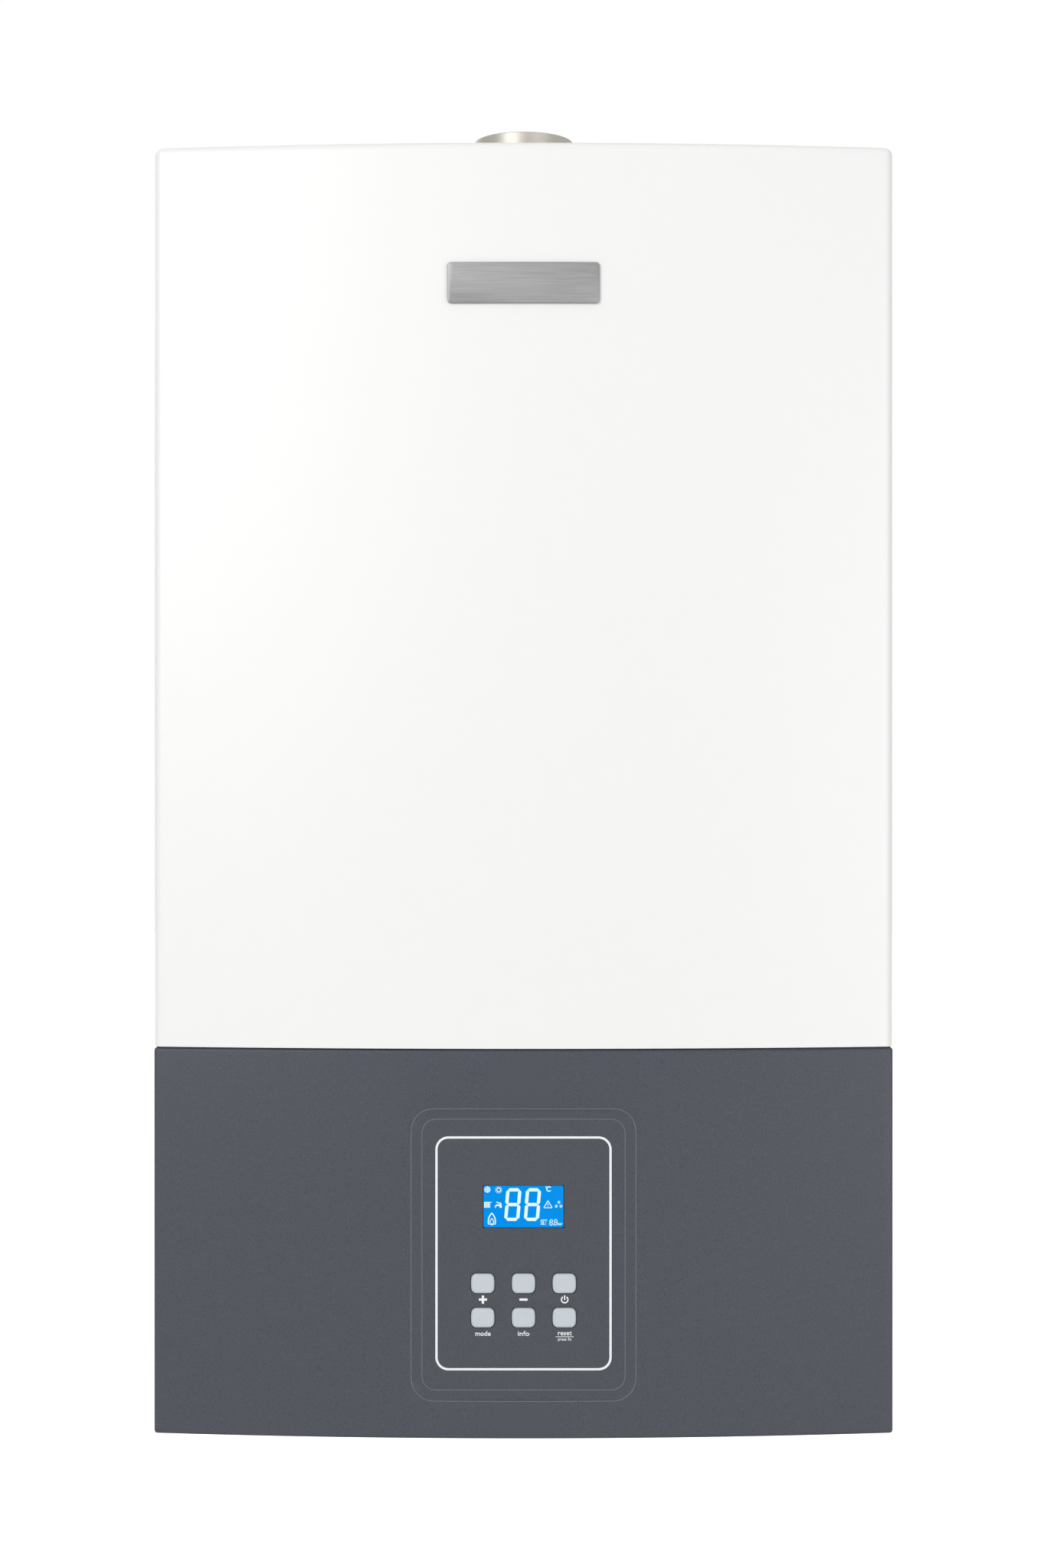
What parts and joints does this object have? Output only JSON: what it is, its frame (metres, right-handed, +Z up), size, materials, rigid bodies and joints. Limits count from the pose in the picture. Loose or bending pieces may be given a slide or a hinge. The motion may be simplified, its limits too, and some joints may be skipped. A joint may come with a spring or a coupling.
{
  "type": "wall-hung gas boiler",
  "caption": "Wall-hung gas boiler with a bowed white cover over a dark tilting control panel, a blue display, a coaxial flue spigot on top and pipe connections below.",
  "frame": {"origin": "middle of the back panel's rear face, where it meets the wall", "axes": "+Y into the wall, so the front looks along -Y; +Z up; +X to the right seen from the front"},
  "size_m": [0.402, 0.3218, 0.7708],
  "materials": {
    "white_enamel": "smooth white powder coat, semi-gloss",
    "galvanised": "galvanised sheet",
    "dark_panel": "moulded plastic with a fine metallic grain",
    "black_plastic": "moulded plastic",
    "button_plastic": "pale satin plastic",
    "print_white": "white screen-printed ink",
    "display": "backlit blue display window",
    "board": "solder mask over fibre board",
    "aluminium": "brushed",
    "flue_aluminium": "drawn tube, satin",
    "copper": "bright copper",
    "brass": "machined brass",
    "vessel_red": "red paint",
    "ceramic": "white insulator",
    "cast_iron": "dark painted casting",
    "stainless": "stainless steel",
    "blue_plastic": "blue knob",
    "red_plastic": "red knob"
  },
  "bodies": {
    "root": {"back_panel": "galvanised", "side_panel_left": "white_enamel", "side_panel_right": "white_enamel", "top_plate": "white_enamel", "bottom_plate": "galvanised", "flue_spigot": "flue_aluminium", "air_collar": "galvanised", "hinge_bracket_left": "galvanised", "hinge_bracket_right": "galvanised", "heating_flow_nipple": "brass", "hot_water_nipple": "brass", "gas_nipple": "brass", "cold_water_nipple": "brass", "heating_return_nipple": "brass", "cable_gland": "black_plastic", "expansion_vessel": "vessel_red", "burner": "stainless", "combustion_chamber": "galvanised", "chamber_front": "galvanised", "chamber_bracket_left": "galvanised", "chamber_bracket_right": "galvanised", "heat_exchanger": "copper", "flue_hood": "galvanised", "fan_housing": "galvanised", "fan_outlet": "galvanised", "fan_motor": "galvanised", "gas_valve": "aluminium", "gas_pipe": "copper", "gas_manifold": "aluminium", "ignition_electrode": "ceramic", "flow_block": "brass", "return_block": "brass", "pump_body": "black_plastic", "pump_motor": "cast_iron", "air_vent": "brass", "plate_exchanger": "stainless", "diverter_motor": "black_plastic", "flow_riser": "copper", "return_riser": "copper", "vessel_pipe": "copper", "safety_valve": "brass", "air_switch": "black_plastic"},
    "front_cover": {"front_cover": "white_enamel", "badge_plate": "aluminium"},
    "control_panel": {"control_fascia": "dark_panel", "display_window": "display", "control_board": "board", "control_box": "black_plastic"},
    "fan_wheel": {"fan_wheel": "aluminium"},
    "pump_wheel": {"pump_wheel": "stainless"},
    "safety_knob": {"safety_knob": "red_plastic"},
    "filling_knob": {"filling_knob": "blue_plastic"},
    "drain_cock": {"drain_cock": "brass"},
    "button_1": {"button_1": "button_plastic"},
    "button_2": {"button_2": "button_plastic"},
    "button_3": {"button_3": "button_plastic"},
    "button_4": {"button_4": "button_plastic"},
    "button_5": {"button_5": "button_plastic"},
    "button_6": {"button_6": "button_plastic"}
  },
  "joints": [
    {"name": "front_cover_lift", "type": "slide", "parent": "root", "child": "front_cover", "axis": [0, 0, 1], "range_m": [0, 0.5]},
    {"name": "control_panel_tilt", "type": "hinge", "parent": "root", "child": "control_panel", "pos_m": [0, -0.2906, -0.345], "axis": [1, 0, 0], "range_deg": [0, 75]},
    {"name": "fan_spin", "type": "hinge", "parent": "root", "child": "fan_wheel", "pos_m": [0.041, -0.14, 0.262], "axis": [0, 1, 0], "continuous": true},
    {"name": "pump_spin", "type": "hinge", "parent": "root", "child": "pump_wheel", "pos_m": [0.105, -0.08, -0.215], "axis": [0, 1, 0], "continuous": true},
    {"name": "safety_knob_turn", "type": "hinge", "parent": "root", "child": "safety_knob", "pos_m": [0.171, -0.14, -0.3072], "axis": [0, 1, 0], "range_deg": [0, 90]},
    {"name": "filling_knob_turn", "type": "hinge", "parent": "root", "child": "filling_knob", "pos_m": [0.0975, -0.075, -0.35], "axis": [0, 0, 1], "range_deg": [0, 90]},
    {"name": "drain_cock_turn", "type": "hinge", "parent": "root", "child": "drain_cock", "pos_m": [-0.0975, -0.075, -0.35], "axis": [0, 0, 1], "range_deg": [0, 90]},
    {"name": "button_1_press", "type": "slide", "parent": "control_panel", "child": "button_1", "axis": [0, 1, 0], "range_m": [0, 0.0008], "stiffness_N_per_m": 400, "springref_m": -0.001},
    {"name": "button_2_press", "type": "slide", "parent": "control_panel", "child": "button_2", "axis": [0, 1, 0], "range_m": [0, 0.0008], "stiffness_N_per_m": 400, "springref_m": -0.001},
    {"name": "button_3_press", "type": "slide", "parent": "control_panel", "child": "button_3", "axis": [0, 1, 0], "range_m": [0, 0.0008], "stiffness_N_per_m": 400, "springref_m": -0.001},
    {"name": "button_4_press", "type": "slide", "parent": "control_panel", "child": "button_4", "axis": [0, 1, 0], "range_m": [0, 0.0008], "stiffness_N_per_m": 400, "springref_m": -0.001},
    {"name": "button_5_press", "type": "slide", "parent": "control_panel", "child": "button_5", "axis": [0, 1, 0], "range_m": [0, 0.0008], "stiffness_N_per_m": 400, "springref_m": -0.001},
    {"name": "button_6_press", "type": "slide", "parent": "control_panel", "child": "button_6", "axis": [0, 1, 0], "range_m": [0, 0.0008], "stiffness_N_per_m": 400, "springref_m": -0.001}
  ]
}
